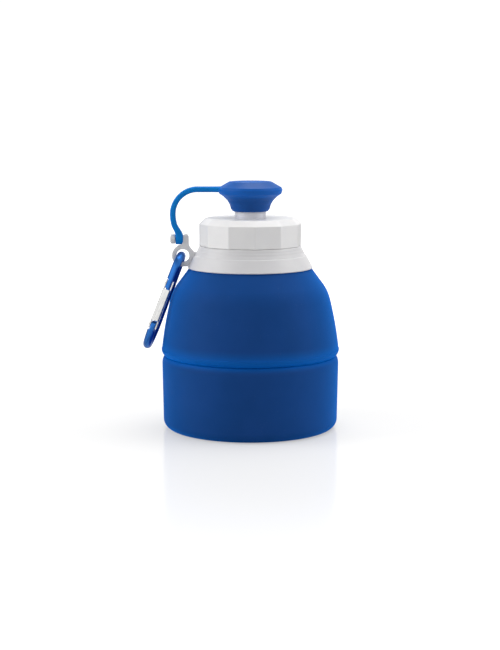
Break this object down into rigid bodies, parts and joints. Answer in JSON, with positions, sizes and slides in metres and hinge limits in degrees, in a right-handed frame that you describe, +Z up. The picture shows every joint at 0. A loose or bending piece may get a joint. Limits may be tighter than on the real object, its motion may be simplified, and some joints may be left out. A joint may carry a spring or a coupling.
{
  "type": "folding water bottle",
  "caption": "Silicone bottle that folds to a low dome, with a screw lid, a drinking spout under a tethered cap, and a spring-gate carabiner on a side ring.",
  "frame": {"origin": "centre of the flat base, on the bottle's axis", "axes": "+Z up along the bottle's axis, -Y the front, -X the side with the ring, the tether and the carabiner"},
  "size_m": [0.0955, 0.0866, 0.12],
  "materials": {
    "cup_silicone": "matte",
    "neck_plastic": "gloss",
    "collar_plastic": "satin",
    "lid_plastic": "gloss",
    "gasket_silicone": "matte",
    "spout_plastic": "translucent",
    "cap_silicone": "satin",
    "anodised_blue": "anodised",
    "gate_sheet": "bright",
    "pin_steel": "satin",
    "spring_steel": "drawn"
  },
  "bodies": {
    "cup": {"lower_cup": "cup_silicone"},
    "top": {"fold_web": "cup_silicone", "upper_dome": "cup_silicone", "neck_insert": "neck_plastic", "shoulder_collar": "collar_plastic", "tether_lower": "cap_silicone"},
    "lid_lift": {"lid_gasket": "gasket_silicone"},
    "lid": {"screw_lid": "lid_plastic", "drinking_spout": "spout_plastic"},
    "cap": {"spout_cap": "cap_silicone", "tether_upper": "cap_silicone"},
    "carabiner": {"carabiner_frame": "anodised_blue", "gate_hinge_pin": "pin_steel"},
    "gate": {"carabiner_gate": "gate_sheet", "gate_latch_pin": "pin_steel", "gate_spring": "spring_steel"}
  },
  "joints": [
    {"name": "unfold", "type": "slide", "parent": "cup", "child": "top", "axis": [0, 0, 1], "range_m": [0, 0.048], "deforming": ["fold_web"]},
    {"name": "lid_rise", "type": "slide", "parent": "top", "child": "lid_lift", "axis": [0, 0, 1], "range_m": [0, 0.0105], "deforming": ["tether_lower"]},
    {"name": "lid_turn", "type": "hinge", "parent": "lid_lift", "child": "lid", "pos_m": [0, 0, 0.08945], "axis": [0, 0, 1], "range_deg": [0, 900]},
    {"name": "cap_pull", "type": "slide", "parent": "lid_lift", "child": "cap", "axis": [0, 0, 1], "range_m": [0, 0.012], "deforming": ["tether_upper"]},
    {"name": "carabiner_swing", "type": "hinge", "parent": "top", "child": "carabiner", "pos_m": [-0.0327, 0, 0.08425], "axis": [0, 1, 0], "range_deg": [0, 100]},
    {"name": "gate_open", "type": "hinge", "parent": "carabiner", "child": "gate", "pos_m": [-0.04664, -0.00988, 0.05177], "axis": [-0.9313, 0.0698, 0.3575], "range_deg": [0, 22], "stiffness_Nm_per_rad": 0.02, "springref_deg": -20.05, "deforming": ["gate_spring"]}
  ],
  "couplings": [
    {"joint": "lid_rise", "follows": "lid_turn", "m_per_rad": 0.00063662}
  ]
}
